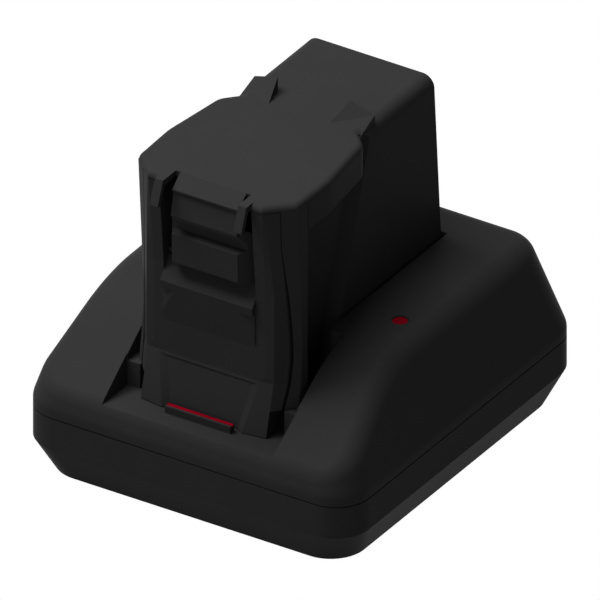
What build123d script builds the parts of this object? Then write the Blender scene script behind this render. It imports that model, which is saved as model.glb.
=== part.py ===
from build123d import *

import os
from math import cos, radians, sin, tan

# A table charger for a tower battery pack, with the pack seated in its bay.
# Millimetres. X to the right, Y to the back, Z up. The origin is the centre of the footprint on the table.

# --- Charger housing ---
base_width = 173.7
base_depth = 194.0
corner_radius = 17.5
foot_stand = 1.0
lower_height = 32.0
skirt_height = 16.3
skirt_inset = 7.0
band_height = 5.0
band_round = 13.0
band_steps = 4
upper_height = 50.2
wall_lean = 15.0
ramp_lean = 35.0
lip_height = 13.9
ramp_round = 63.0
rim_round = 10.5
shell_wall = 2.6
seam_reveal = 0.6

# --- Battery bay ---
floor_rise = 13.9
bay_half_width = 44.6
bay_draft = 1.8
bay_step_y = -35.1
slot_half_width = 37.9
slot_gap = 0.7
ledge_rise = 12.3
ledge_front_y = -72.9
ledge_front_lean = 3.1
bay_wall = 2.2

# --- Lights on the charger ---
window_x = 60.4
window_y = -12.0
window_diameter = 6.9
window_rim = 0.5
window_recess = 0.4
pipe_diameter = 4.0
light_fit = 0.15
rib_half_width = 17.2
rib_front_y = -84.8
rib_depth = 3.2
rib_height = 3.6
rib_lip = 1.2
light_web = 1.4
light_web_half = 15.2
light_bar_thickness = 1.2
window_seat = 2.2
lamp_board_half = 22.0
lamp_board_z = 39.7
lamp_post_x = 19.5

# --- Charger insides ---
boss_margin = 25.0
boss_diameter = 9.0
pilot_diameter = 3.2
screw_diameter = 3.0
screw_head_diameter = 6.4
screw_head_height = 2.4
screw_clearance = 0.4
screw_bite = 9.0
foot_diameter = 15.0
foot_thickness = 2.4
foot_margin_x = 29.0
foot_margin_y = 49.0
board_rise = 5.0
board_thickness = 1.6
board_margin = 11.0
standoff_diameter = 7.0
seat_gap = 0.3
fit_gap = 0.15
core_width = 50.0
core_depth = 18.0
core_height = 31.0
core_leg = 14.0
core_y = -38.0
capacitor_x = -62.0
capacitor_ys = (-40.0, -18.0, 4.0)
capacitor_diameter = 18.0
capacitor_height = 30.0
sink_x = 52.0
sink_plate = 3.0
sink_reach = 17.0
sink_fin = 1.6
sink_fins = 7
sink_front_y = 6.0
sink_back_y = 58.0
sink_height = 30.0
transistor_ys = (16.0, 32.0, 48.0)
choke_x = -14.0
choke_y = 56.0
choke_radius = 9.0
choke_wire = 5.0
fuse_x = -62.0
fuse_y = 38.0
inlet_x = -48.0
inlet_width = 18.0
inlet_height = 9.6
inlet_rise = 21.6
inlet_length = 19.0
inlet_depth = 13.0
inlet_pin_gap = 7.0
inlet_pin_diameter = 2.3
block_half = 21.0
block_reach = 6.0
board_chips = [(-24.0, -66.0, 14.0, 14.0, 1.6), (-4.0, -72.0, 8.0, 6.0, 1.4), (10.0, -72.0, 8.0, 6.0, 1.4),
               (22.0, 34.0, 12.0, 8.0, 9.0), (22.0, 50.0, 12.0, 8.0, 7.0), (-36.0, 22.0, 10.0, 18.0, 12.0),
               (60.0, -44.0, 14.0, 20.0, 13.0), (36.0, -36.0, 6.0, 12.0, 8.0)]

# --- Battery pack ---
pack_height = 117.8
block_half_width = 36.6
block_side_slope = 0.028
block_front_y = -34.7
block_front_slope = 0.352
block_edge_y = -36.7
block_edge_slope = 0.283
block_back_y = 61.9
block_back_slope = 0.02716
block_side_round = 6.0
neck_half_width = 30.2
column_half_width = 42.0
column_back_y = -59.5
grip_end_y = -50.0
skirt_half_width = 33.0
column_foot_rise = 12.3
pad_height = 23.4
pad_wall_y = -74.6
plate_height = 16.4
plate_brim = 3.0
plate_front_y = -78.9
plate_corner_x = 30.1
plate_side_x = 42.2
plate_side_y = -67.4
plate_half_width = 43.0
plate_widest_y = -42.5
plate_back_x = 38.4
plate_back_y = -7.5
plate_shoulder_x = 33.3
plate_shoulder_y = -2.0
plate_round = 2.9
notch_half_width = 19.8
notch_back_y = -71.5
horn_outer_x = 24.1
groove_line = [(-1.0, 36.0, 0.8), (10.0, 36.9, 0.9), (23.0, 38.1, 1.1), (35.0, 38.7, 1.2),
               (51.0, 38.5, 1.2), (68.0, 37.8, 1.0), (83.0, 36.9, 0.5), (95.0, 36.1, 0.3),
               (114.8, 36.1, 0.3)]
cover_hollow_x = 33.4
cover_back_y = -64.5
cover_wall = 2.6
case_wall = 2.4
neck_wall = 1.9
neck_front_wall = 2.7
neck_hollow_y = -1.0
pack_floor = 2.6

# --- Cells ---
cell_diameter = 18.3
cell_length = 65.0
cell_pitch = 18.9
cell_columns = 3
cell_rows = 5
cell_centre_y = 17.5
cell_lowest_rise = 23.0
holder_inset = 7.0
front_holder_inset = 16.6
holder_thickness = 6.0
holder_margin = 1.5
strip_thickness = 0.3

# --- Terminals between charger and pack ---
terminal_y = 10.0
terminal_count = 5
terminal_pitch = 8.0
blade_thickness = 0.8
blade_width = 7.0
blade_rise = 9.5
blade_gap = 0.2
clip_thickness = 0.5
socket_height = 12.0
socket_width = 44.0
socket_depth = 14.0

# --- Release lever ---
pocket_half_width = 24.2
pocket_wall = 2.4
pocket_back_y = -58.0
pocket_foot_rise = 62.8
lip_front_y = -77.8
lip_depth = 22.0
lip_straight = 15.0
lip_edge = 4.0
lip_corner_y = -75.5
tongue_drop = 5.6
pocket_top_rise = 114.8
lever_half_width = 17.4
lever_gap = 0.5
flank_half_width = 23.2
bend_drop = 11.9
hook_drop = 21.0
pin_diameter = 3.0
pin_fit = 0.05
pin_y = -70.5
pin_rise = 76.0
coil_wire = 0.8
coil_half_width = 5.0

# --- Charge gauge on the back of the pack ---
gauge_rise = 88.0
gauge_board_y = 52.4
gauge_window_x = -6.0
gauge_window_width = 18.0
gauge_window_height = 5.0
button_x = 12.0
button_diameter = 9.0
button_flange = 1.0
button_flange_reach = 1.2
button_proud = 0.8
slide_gap = 0.1

# Heights that follow from the sizes above.
shell_bottom_z = foot_stand
seam_z = shell_bottom_z + lower_height
band_z = seam_z + band_height
top_z = seam_z + upper_height
lip_z = seam_z + lip_height
floor_z = seam_z + floor_rise
ledge_z = floor_z + ledge_rise
inner_floor_z = shell_bottom_z + shell_wall
board_z = inner_floor_z + board_rise
board_top_z = board_z + board_thickness
bay_under_z = floor_z - shell_wall
pack_bottom_z = floor_z + seat_gap
slot_back_y = block_back_y + slot_gap
pack_top_z = pack_bottom_z + pack_height
plate_bottom_z = pack_top_z - plate_height
brim_z = pack_top_z - plate_brim
column_foot_z = pack_bottom_z + column_foot_rise
pocket_foot_z = pack_bottom_z + pocket_foot_rise
pocket_top_z = pack_bottom_z + pocket_top_rise
lip_foot_z = pocket_foot_z - lip_depth
tongue_z = pack_top_z - tongue_drop
pin_z = pack_bottom_z + pin_rise
half_width = base_width / 2
half_depth = base_depth / 2
lip_y = -half_depth + (lip_z - band_z) * tan(radians(wall_lean))
board_half_width = half_width - board_margin
board_front_y = -half_depth + board_margin
board_back_y = half_depth - board_margin
inlet_front_y = half_depth - inlet_length
foot_x = half_width - foot_margin_x
foot_y = half_depth - foot_margin_y
foot_places = [(x, y) for x in (-foot_x, foot_x) for y in (-foot_y, foot_y)]
boss_x = half_width - boss_margin
boss_y = half_depth - boss_margin
boss_places = [(x, y) for x in (-boss_x, boss_x) for y in (-boss_y, boss_y)]

os.makedirs("parts", exist_ok=True)


def finish(part, label):
    """Name a finished piece and write its file."""
    part.label = label
    export_step(part, f"parts/{label}.step")


def wall_inset(height):
    """How far a leaning wall stands back from the vertical band at a height above the table."""
    return max(0.0, height - band_z) * tan(radians(wall_lean))


def wall_steps():
    """Heights and insets of the outside wall: skirt, vertical band, a soft bend, then the leaning wall."""
    bend_start_z = band_z - band_round * tan(radians(wall_lean / 2))
    steps = [(shell_bottom_z, skirt_inset), (shell_bottom_z + skirt_height, 0.0)]
    for step in range(band_steps + 1):
        angle = radians(wall_lean * step / band_steps)
        steps.append((bend_start_z + band_round * sin(angle), band_round * (1 - cos(angle))))
    steps.append((top_z, wall_inset(top_z)))
    return steps


def wall_section(height, inset):
    """A rounded rectangle of the outside wall at one height."""
    with BuildSketch(Plane.XY.offset(height)) as section:
        RectangleRounded(base_width - 2 * inset[0], base_depth - 2 * inset[0], corner_radius - inset[1])
    return section.sketch


def housing_form(inset):
    """The closed form of both shells, moved inwards by a wall thickness."""
    steps = wall_steps()
    roof_z = top_z - inset
    drop = inset / cos(radians(ramp_lean))
    ramp_top_y = lip_y + (top_z - lip_z) / tan(radians(ramp_lean))
    ramp_rise = (ramp_top_y + base_depth) * tan(radians(ramp_lean))
    shifted_y = ramp_top_y + (drop - inset) / tan(radians(ramp_lean))
    with BuildPart() as form:
        for low, high in zip(steps, steps[1:]):
            low_section = wall_section(low[0], (low[1] + inset, inset))
            high_section = wall_section(high[0], (high[1] + inset, inset))
            loft([low_section, high_section], ruled=True)
        with BuildSketch(Plane.YZ):
            with BuildLine():
                FilletPolyline(
                    (shifted_y - base_depth, roof_z - ramp_rise - base_depth),
                    (shifted_y - base_depth, roof_z - base_depth * tan(radians(ramp_lean))),
                    (shifted_y, roof_z),
                    (base_depth, roof_z),
                    (base_depth, roof_z - ramp_rise - base_depth),
                    radius=[0, 0, ramp_round - inset, 0, 0],
                    close=True,
                )
            make_face()
        extrude(amount=half_width, both=True, mode=Mode.INTERSECT)
        roofs = [face for face in form.faces() if face.normal_at().Z > 0.75]
        rims = [edge for face in roofs for edge in face.edges()]
        centres = [tuple(round(v, 3) for v in edge.center()) for edge in rims]
        outer_rims = [edge for edge, centre in zip(rims, centres) if centres.count(centre) == 1]
        fillet(outer_rims, rim_round - inset)
    return form.part


def slab(low_z, high_z):
    """A block wider than the whole charger between two heights."""
    with BuildPart() as block:
        with BuildSketch(Plane.XY.offset(low_z)):
            Rectangle(2 * base_width, 2 * base_depth)
        extrude(amount=high_z - low_z)
    return block.part


outer_form = housing_form(0)
inner_form = housing_form(shell_wall)
reveal_form = housing_form(seam_reveal)


def bay_form(inset, bottom_z):
    """The space of the battery bay, widened by a wall, from a height to above the top."""
    reach = half_depth
    with BuildPart() as space:
        with BuildSketch(Plane.XY.offset(bottom_z)):
            with Locations((0, (slot_back_y + inset - reach) / 2)):
                Rectangle(2 * (slot_half_width + inset), slot_back_y + inset + reach)
        extrude(amount=top_z + 1 - bottom_z)
        with BuildSketch(Plane.XY.offset(bottom_z)):
            with Locations((0, (ledge_front_y + inset - reach) / 2)):
                Rectangle(2 * (bay_half_width + inset), reach + ledge_front_y - inset)
        extrude(amount=top_z + 1 - bottom_z, taper=-bay_draft)
        with BuildSketch(Plane.XY.offset(ledge_z - inset)):
            with Locations((0, (bay_step_y + inset - reach) / 2)):
                Rectangle(2 * (bay_half_width + inset), bay_step_y + inset + reach)
        extrude(amount=top_z + 1 - ledge_z + inset, taper=-bay_draft)
    return space.part


# --- Upper shell: leaning walls, ramp, stepped bay, ledges, light rib and screw bosses ---
hollow = inner_form & slab(inner_floor_z, top_z)
hollow = hollow - bay_form(bay_wall, bay_under_z)
with BuildPart() as upper_shell:
    add(outer_form & slab(seam_z, top_z + 1))
    add(hollow, mode=Mode.SUBTRACT)
    add(slab(seam_z - 1, seam_z + seam_reveal) & (outer_form - reveal_form), mode=Mode.SUBTRACT)
    add(bay_form(0, floor_z), mode=Mode.SUBTRACT)
    with BuildSketch(Plane.YZ) as ledge_face:
        Polygon(
            (ledge_front_y, floor_z),
            (ledge_front_y + ledge_front_lean, ledge_z),
            (ledge_front_y + 2 * ledge_front_lean, ledge_z),
            (ledge_front_y + 2 * ledge_front_lean, floor_z),
            align=None,
        )
    extrude(amount=bay_half_width, both=True)
    with BuildSketch(Plane.XY.offset(floor_z)):
        with Locations((0, slot_back_y / 2)):
            Rectangle(2 * slot_half_width, slot_back_y)
        with Locations((0, ledge_front_y / 2)):
            Rectangle(2 * slot_half_width, -ledge_front_y)
    extrude(amount=ledge_rise, mode=Mode.SUBTRACT)
    rib_y = rib_front_y + rib_depth / 2
    with BuildSketch(Plane.XY.offset(bay_under_z)):
        with Locations((0, rib_y)):
            Rectangle(2 * rib_half_width, rib_depth)
    extrude(amount=floor_z + rib_height - bay_under_z)
    with BuildSketch(Plane.XY.offset(floor_z + rib_height - light_bar_thickness)):
        with Locations((0, rib_y + rib_lip / 2)):
            Rectangle(2 * rib_half_width, rib_depth - rib_lip)
    extrude(amount=2, mode=Mode.SUBTRACT)
    with BuildSketch(Plane.XY.offset(bay_under_z - 1)):
        with Locations((0, rib_y + rib_lip / 2)):
            Rectangle(2 * light_web_half + 2 * light_fit, light_web + 2 * light_fit)
    extrude(amount=rib_height + shell_wall + 1, mode=Mode.SUBTRACT)
    with BuildSketch(Plane.XY.offset(lamp_board_z)):
        with Locations((-lamp_post_x, rib_y), (lamp_post_x, rib_y)):
            Circle(2.0)
    extrude(amount=bay_under_z - lamp_board_z)
    with BuildSketch(Plane.XY.offset(bay_under_z - 1)):
        with Locations((0, terminal_y)):
            Rectangle(2 * block_half + 2 * seat_gap, 2 * block_reach + 2 * seat_gap)
    extrude(amount=shell_wall + 2, mode=Mode.SUBTRACT)
    with BuildSketch(Plane.XY.offset(top_z - 30)):
        with Locations((window_x, window_y)):
            Circle(pipe_diameter / 2 + bay_wall)
    extrude(amount=30 - shell_wall)
    with BuildSketch(Plane.XY.offset(top_z)):
        with Locations((window_x, window_y)):
            Circle(window_diameter / 2 + window_rim)
    extrude(amount=-window_recess, mode=Mode.SUBTRACT)
    with BuildSketch(Plane.XY.offset(top_z)):
        with Locations((window_x, window_y)):
            Circle(window_diameter / 2 + light_fit)
    extrude(amount=-window_seat, mode=Mode.SUBTRACT)
    with BuildSketch(Plane.XY.offset(top_z)):
        with Locations((window_x, window_y)):
            Circle(pipe_diameter / 2 + light_fit)
    extrude(amount=-31, mode=Mode.SUBTRACT)
    for x, y in boss_places:
        with BuildSketch(Plane.XY.offset(seam_z + 0.5)):
            with Locations((x, y)):
                Circle(boss_diameter / 2)
        extrude(until=Until.NEXT)
        with BuildSketch(Plane.XY.offset(seam_z + 0.5)):
            with Locations((x, y)):
                Circle(pilot_diameter / 2)
        extrude(amount=screw_bite + 1, mode=Mode.SUBTRACT)
finish(upper_shell.part, "upper_shell")

# --- Lower shell: tray with screw posts, board posts, foot seats and vents ---
standoff_places = [(x, y) for x in (-40.0, 40.0) for y in (-60.0, 60.0)]
post_top_z = seam_z + 0.5
counterbore = screw_head_diameter + 2 * screw_clearance
head_seat_z = post_top_z - 14.0
with BuildPart() as lower_shell:
    add(outer_form & slab(0, seam_z))
    add(inner_form & slab(inner_floor_z, seam_z + 1), mode=Mode.SUBTRACT)
    for x, y in boss_places:
        with BuildSketch(Plane.XY.offset(shell_bottom_z)):
            with Locations((x, y)):
                Circle(boss_diameter / 2 + 0.8)
        extrude(amount=post_top_z - shell_bottom_z)
        with BuildSketch(Plane.XY.offset(shell_bottom_z)):
            with Locations((x, y)):
                Circle(counterbore / 2)
        extrude(amount=head_seat_z - shell_bottom_z, mode=Mode.SUBTRACT)
        with BuildSketch(Plane.XY.offset(shell_bottom_z)):
            with Locations((x, y)):
                Circle(screw_diameter / 2 + screw_clearance)
        extrude(amount=post_top_z - shell_bottom_z, mode=Mode.SUBTRACT)
    for x, y in standoff_places:
        with BuildSketch(Plane.XY.offset(inner_floor_z - 1)):
            with Locations((x, y)):
                Circle(standoff_diameter / 2)
        extrude(amount=board_rise + 1)
        with BuildSketch(Plane.XY.offset(board_z)):
            with Locations((x, y)):
                Circle(pilot_diameter / 2)
        extrude(amount=-board_rise, mode=Mode.SUBTRACT)
    with BuildSketch(Plane.XY.offset(shell_bottom_z)):
        with Locations(*foot_places):
            Circle(foot_diameter / 2 + fit_gap)
    extrude(amount=foot_thickness - foot_stand, mode=Mode.SUBTRACT)
    with BuildSketch(Plane.XY.offset(shell_bottom_z)):
        with GridLocations(7.0, 0, 9, 1):
            SlotOverall(44.0, 2.6, rotation=90)
    extrude(amount=shell_wall, mode=Mode.SUBTRACT)
    with BuildSketch(Plane.XZ.offset(-half_depth - 1)):
        with Locations((inlet_x, shell_bottom_z + inlet_rise)):
            Rectangle(inlet_width + 2 * fit_gap, inlet_height + 2 * fit_gap)
        with Locations((28.0, shell_bottom_z + inlet_rise)):
            with GridLocations(5.2, 0, 8, 1):
                SlotOverall(10.0, 2.4, rotation=90)
    extrude(amount=shell_wall + 2, mode=Mode.SUBTRACT)
finish(lower_shell.part, "lower_shell")


# --- Battery case: rear block, neck, front columns, top plate, horns and ears, open underneath ---
# Plan of the front half at each height: nose corner, cheek corner and column corner (x, y).
front_rows = [
    (pack_bottom_z, (21.0, -81.6), (33.0, -79.9), (column_half_width, -69.0)),
    (pack_bottom_z + 25.0, (26.4, -74.8), (33.2, -74.1), (column_half_width, -65.0)),
    (pack_bottom_z + 27.0, (29.3, -74.8), (33.3, -74.1), (column_half_width, -64.9)),
    (pack_bottom_z + 39.8, (29.3, -74.8), (33.6, -74.1), (column_half_width - 0.2, -63.8)),
    (pack_bottom_z + 70.8, (29.3, -74.8), (33.6, -74.1), (column_half_width, -65.0)),
    (brim_z, (30.1, -78.6), (31.0, -77.8), (column_half_width + 0.2, -67.5)),
]


def block_section(height, wall, edge_wall):
    """Plan of the rear block at one height, moved inwards by its walls."""
    rise = height - pack_bottom_z
    side = block_half_width - block_side_slope * rise - wall
    front = block_front_y + block_front_slope * rise + wall
    edge_front = block_edge_y + block_edge_slope * rise + wall
    back = block_back_y - block_back_slope * rise - wall
    edge = neck_half_width - edge_wall
    with BuildSketch(Plane.XY.offset(height)) as section:
        Polygon(
            (side, back),
            (-side, back),
            (-side, front),
            (-edge, edge_front),
            (edge, edge_front),
            (side, front),
            align=None,
        )
    return section.sketch


def front_section(row, shift, back_y):
    """Plan of the front half at one height, with its faces moved inwards by a shift."""
    nose, cheek, column = row[1:]
    with BuildSketch(Plane.XY.offset(row[0])) as section:
        Polygon(
            (column[0] - shift, back_y),
            (-column[0] + shift, back_y),
            (-column[0] + shift, column[1] + shift),
            (-cheek[0] + shift / 2, cheek[1] + shift),
            (-nose[0] + shift / 2, nose[1] + shift),
            (nose[0] - shift / 2, nose[1] + shift),
            (cheek[0] - shift / 2, cheek[1] + shift),
            (column[0] - shift, column[1] + shift),
            align=None,
        )
    return section.sketch


def front_form(shift, back_y):
    """The front half of the pack, straight between its plan sections."""
    with BuildPart() as form:
        for low, high in zip(front_rows, front_rows[1:]):
            loft([front_section(low, shift, back_y), front_section(high, shift, back_y)], ruled=True)
    return form.part


def box_between(x_low, x_high, y_low, y_high, z_low, z_high):
    """A plain block between two limits in each direction."""
    with BuildPart() as block:
        with BuildSketch(Plane.XY.offset(z_low)):
            with Locations(((x_low + x_high) / 2, (y_low + y_high) / 2)):
                Rectangle(x_high - x_low, y_high - y_low)
        extrude(amount=z_high - z_low)
    return block.part


def side_prism(points, half_width):
    """A block of one side outline (y, z), centred on the middle plane."""
    with BuildPart() as prism:
        with BuildSketch(Plane.YZ):
            Polygon(*points, align=None)
        extrude(amount=half_width, both=True)
    return prism.part


def front_prism(side, back_y):
    """The front half's middle, out to one side of the groove round the cover: 0.5 outer, -0.5 inner."""
    edge = [(half + side * gap, pack_bottom_z + rise) for rise, half, gap in groove_line]
    with BuildPart() as prism:
        with BuildSketch(Plane.XZ.offset(-back_y)):
            Polygon(*edge, *[(-x, z) for x, z in reversed(edge)], align=None)
        extrude(amount=100.0 + back_y)
    return prism.part


with BuildPart() as top_plate:
    with BuildSketch(Plane.XY.offset(plate_bottom_z)):
        with BuildLine():
            FilletPolyline(
                (0, plate_front_y),
                (plate_corner_x, plate_front_y),
                (plate_side_x, plate_side_y),
                (plate_half_width, plate_widest_y),
                (plate_back_x, plate_back_y),
                (plate_shoulder_x, plate_shoulder_y),
                (0, plate_shoulder_y),
                radius=[0, 1.5, 4.0, 30.0, 9.0, 0, 0],
                close=True,
            )
        make_face()
        mirror(about=Plane.YZ)
    extrude(amount=plate_height)
    top_edges = top_plate.edges().group_by(Axis.Z)[-1]
    plate_rims = [edge for edge in top_edges if edge.center().Y < plate_shoulder_y]
    fillet(plate_rims, plate_round)

with BuildPart() as rear_block:
    low_plan = block_section(pack_bottom_z, 0, 0)
    high_plan = block_section(pack_top_z, 0, 0)
    loft([low_plan, high_plan], ruled=True)
    side_rims = rear_block.edges().group_by(Axis.Z)[-1].filter_by(Axis.Y)
    fillet(side_rims, block_side_round)

with BuildPart() as grips:
    with BuildSketch(Plane.XY.offset(pack_bottom_z)):
        with BuildLine():
            FilletPolyline(
                (0, column_back_y - 1),
                (column_half_width - 0.5, column_back_y - 1),
                (column_half_width - 0.5, column_back_y),
                (neck_half_width + 2.5, column_back_y + 2.0),
                (neck_half_width, grip_end_y),
                (neck_half_width, 0),
                (0, 0),
                radius=[0, 0, 1.0, 6.0, 8.0, 0, 0],
                close=True,
            )
        make_face()
        mirror(about=Plane.YZ)
    extrude(amount=plate_bottom_z + 1 - pack_bottom_z)

ear_foot = Vector(15.8, -0.8, pack_top_z)
ear_tip = Vector(31.7, 12.3, pack_top_z + 2.7)
ear_corners = [ear_foot, Vector(32.1, -0.8, pack_top_z - 2.2), ear_tip,
               Vector(19.0, 11.7, pack_top_z + 6.7)]
with BuildPart() as ear:
    for facet in (ear_corners[:3], [ear_foot, ear_tip, ear_corners[3]]):
        with BuildPart(mode=Mode.PRIVATE) as wedge:
            with BuildSketch(Plane.XY.offset(brim_z - 1.0)):
                Polygon(*[(corner.X, corner.Y) for corner in facet], align=None)
            extrude(amount=12.0)
            slope = (facet[1] - facet[0]).cross(facet[2] - facet[0])
            split(bisect_by=Plane(origin=facet[0], z_dir=slope), keep=Keep.BOTTOM)
        add(wedge.part)

roof_z = pack_top_z - case_wall
front_room = front_form(0, column_back_y)
skirt_cut = box_between(skirt_half_width, 60, -100, grip_end_y + 5, pack_bottom_z - 1, column_foot_z)
cover_room = front_prism(0.5, cover_back_y + seat_gap)
boss_spots = [(x, y) for x in (-31.5, 31.5) for y in (54.0,)] + [(-25.6, -52.0), (25.6, -52.0)]
base_top_z = pack_bottom_z + pack_floor
with BuildPart() as battery_case:
    add(rear_block.part)
    add(grips.part)
    add(front_room)
    outside_columns = box_between(-60, 60, -100, column_back_y, plate_bottom_z - 1, brim_z) - front_room
    add(top_plate.part - outside_columns)
    add(skirt_cut, mode=Mode.SUBTRACT)
    add(mirror(skirt_cut, about=Plane.YZ), mode=Mode.SUBTRACT)
    add(cover_room, mode=Mode.SUBTRACT)
    add(box_between(-pocket_half_width, pocket_half_width, -100, pocket_back_y,
                    pocket_foot_z + 10, pocket_top_z), mode=Mode.SUBTRACT)
    add(box_between(-notch_half_width, notch_half_width, -100, notch_back_y, brim_z - 2, pack_top_z + 1),
        mode=Mode.SUBTRACT)
    tongue_sides = [(-70.0, pack_top_z), (notch_back_y, pack_top_z), (-78.5, tongue_z + 0.1),
                    (-78.5, tongue_z - 0.7), (-77.8, tongue_z - 0.7), (-77.0, tongue_z), (-70.0, tongue_z)]
    add(side_prism(tongue_sides, lever_half_width))
    horn_sides = [(-76.0, pack_top_z), (-82.2, pack_top_z), (-86.7, pack_top_z - 11.6),
                  (-84.4, pack_top_z - 12.5), (-80.7, brim_z), (-76.0, brim_z)]
    horns = side_prism(horn_sides, horn_outer_x) - side_prism(horn_sides, notch_half_width)
    add(horns)
    add(ear.part)
    add(mirror(ear.part, about=Plane.YZ, mode=Mode.PRIVATE))
    low_hollow = block_section(pack_bottom_z, case_wall, neck_wall)
    high_hollow = block_section(roof_z, case_wall, neck_wall)
    loft([low_hollow, high_hollow], ruled=True, mode=Mode.SUBTRACT)
    neck_inner = neck_half_width - neck_wall
    add(box_between(-neck_inner, neck_inner, cover_back_y + neck_front_wall, neck_hollow_y,
                    pack_bottom_z, pocket_foot_z - case_wall), mode=Mode.SUBTRACT)
    add(box_between(-neck_inner, neck_inner, pocket_back_y + case_wall, neck_hollow_y,
                    pack_bottom_z, roof_z), mode=Mode.SUBTRACT)
    for x, y in boss_spots:
        with BuildSketch(Plane.XY.offset(base_top_z)):
            with Locations((x, y)):
                Circle(3.2)
        extrude(amount=9.0)
        with BuildSketch(Plane.XY.offset(base_top_z)):
            with Locations((x, y)):
                Circle(1.25)
        extrude(amount=8.0, mode=Mode.SUBTRACT)
    gauge_z = pack_bottom_z + gauge_rise
    gauge_inner_y = block_back_y - block_back_slope * gauge_rise - case_wall
    with BuildSketch(Plane.XZ.offset(-gauge_inner_y - case_wall - 1)):
        with Locations((gauge_window_x, gauge_z)):
            RectangleRounded(gauge_window_width, gauge_window_height, 1.1)
        with Locations((button_x, gauge_z)):
            Circle(button_diameter / 2 + slide_gap)
    extrude(amount=case_wall + 2, mode=Mode.SUBTRACT)
    with BuildSketch(Plane.XZ.offset(-gauge_board_y - board_thickness)):
        with Locations((-19.3, gauge_z), (19.3, gauge_z)):
            Circle(1.6)
    extrude(amount=-(gauge_inner_y + 1 - gauge_board_y - board_thickness))
finish(battery_case.part, "battery_case")

# --- Battery front cover: nose face, cheeks, skirt and the latch pocket ---
inner_front = front_form(cover_wall, column_back_y)


def pad_section(height, outer_x, outer_y, inner_x, inner_y):
    """Plan at one height of the room between the two pads of the skirt."""
    with BuildSketch(Plane.XY.offset(height)) as section:
        Polygon((outer_x, -90.0), (outer_x, outer_y), (inner_x, inner_y),
                (-inner_x, inner_y), (-outer_x, outer_y), (-outer_x, -90.0), align=None)
    return section.sketch


with BuildPart() as lip_plan:
    with BuildSketch(Plane.XY.offset(lip_foot_z - 1)):
        Polygon((pocket_half_width, -72.0), (-pocket_half_width, -72.0),
                (-pocket_half_width, lip_corner_y), (-lip_straight, lip_front_y),
                (lip_straight, lip_front_y), (pocket_half_width, lip_corner_y), align=None)
    extrude(amount=lip_depth + 2)
with BuildPart() as battery_front_cover:
    add(front_room & front_prism(-0.5, cover_back_y) & slab(pack_bottom_z, brim_z - seat_gap))
    add(skirt_cut, mode=Mode.SUBTRACT)
    add(mirror(skirt_cut, about=Plane.YZ), mode=Mode.SUBTRACT)
    lower_hollow = inner_front & box_between(-cover_hollow_x, cover_hollow_x, pad_wall_y, cover_back_y,
                                             column_foot_z + cover_wall, pocket_foot_z - cover_wall)
    skirt_hollow = inner_front & box_between(-skirt_half_width + cover_wall, skirt_half_width - cover_wall,
                                             pad_wall_y, cover_back_y, pack_bottom_z + pack_floor,
                                             pocket_foot_z - cover_wall)
    side_hollow = inner_front & box_between(pocket_half_width + pocket_wall, cover_hollow_x,
                                            -100, cover_back_y,
                                            column_foot_z + cover_wall, brim_z - cover_wall)
    add(lower_hollow, mode=Mode.SUBTRACT)
    add(skirt_hollow, mode=Mode.SUBTRACT)
    add(side_hollow, mode=Mode.SUBTRACT)
    add(mirror(side_hollow, about=Plane.YZ), mode=Mode.SUBTRACT)
    lip_side = side_prism([(-72.0, lip_foot_z), (-74.7, lip_foot_z), (lip_front_y, pocket_foot_z),
                           (-72.0, pocket_foot_z + 7.4)], pocket_half_width)
    add(lip_side & lip_plan.part)
    add(lip_side & slab(pocket_foot_z - lip_edge, pocket_foot_z + lip_edge))
    add(side_prism([(-95, pocket_foot_z), (lip_front_y, pocket_foot_z), (-70.0, pocket_foot_z + 10),
                    (-60.0, pocket_foot_z + 10), (-60.0, brim_z + 1), (-95, brim_z + 1)], pocket_half_width),
        mode=Mode.SUBTRACT)
    loft([pad_section(pack_bottom_z, 21.2, -81.7, 17.6, -79.4),
          pad_section(pack_bottom_z + pad_height, 26.6, -75.3, 22.6, -74.8)], ruled=True, mode=Mode.SUBTRACT)
    with BuildSketch(Plane.YZ):
        with Locations((pin_y, pin_z)):
            Circle(pin_diameter / 2)
    extrude(amount=pocket_half_width + 2.0, both=True, mode=Mode.SUBTRACT)
finish(battery_front_cover.part, "battery_front_cover")

# --- Release lever: finger panel, hook ledge and lower panel around its pin ---
lever_top_z = tongue_z - lever_gap - 0.4
lever_bend_z = lever_top_z - bend_drop
hook_z = lever_top_z - hook_drop
lever_sides = [(-77.3, lever_top_z), (-79.7, lever_bend_z), (-74.6, hook_z + 3.4), (-74.6, hook_z),
               (-78.9, hook_z - 0.9), (-78.6, pin_z - 1.0), (-77.0, pin_z - 2.3), (-70.5, pin_z - 2.8),
               (-67.6, pin_z), (-67.6, pin_z + 8.0), (-71.0, hook_z + 6.4), (-74.8, lever_bend_z + 1.9),
               (-74.2, lever_top_z)]
with BuildPart() as lever_foot:
    with BuildSketch(Plane.XY.offset(pin_z - 4.0)):
        Polygon((flank_half_width, -66.0), (-flank_half_width, -66.0), (-flank_half_width, -69.2),
                (-lever_half_width, -78.4), (lever_half_width, -78.4), (flank_half_width, -69.2),
                align=None)
    extrude(amount=lever_bend_z - pin_z + 4.0)
with BuildPart() as release_lever:
    add(side_prism(lever_sides, lever_half_width))
    add(side_prism(lever_sides, flank_half_width) & lever_foot.part)
    add(box_between(-coil_half_width, coil_half_width, pin_y - 2.9, -60.0, pin_z - 4, pin_z + 5),
        mode=Mode.SUBTRACT)
    with BuildSketch(Plane.YZ):
        with Locations((pin_y, pin_z)):
            Circle(pin_diameter / 2 + pin_fit)
    extrude(amount=flank_half_width + 1, both=True, mode=Mode.SUBTRACT)
finish(release_lever.part, "release_lever")

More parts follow.
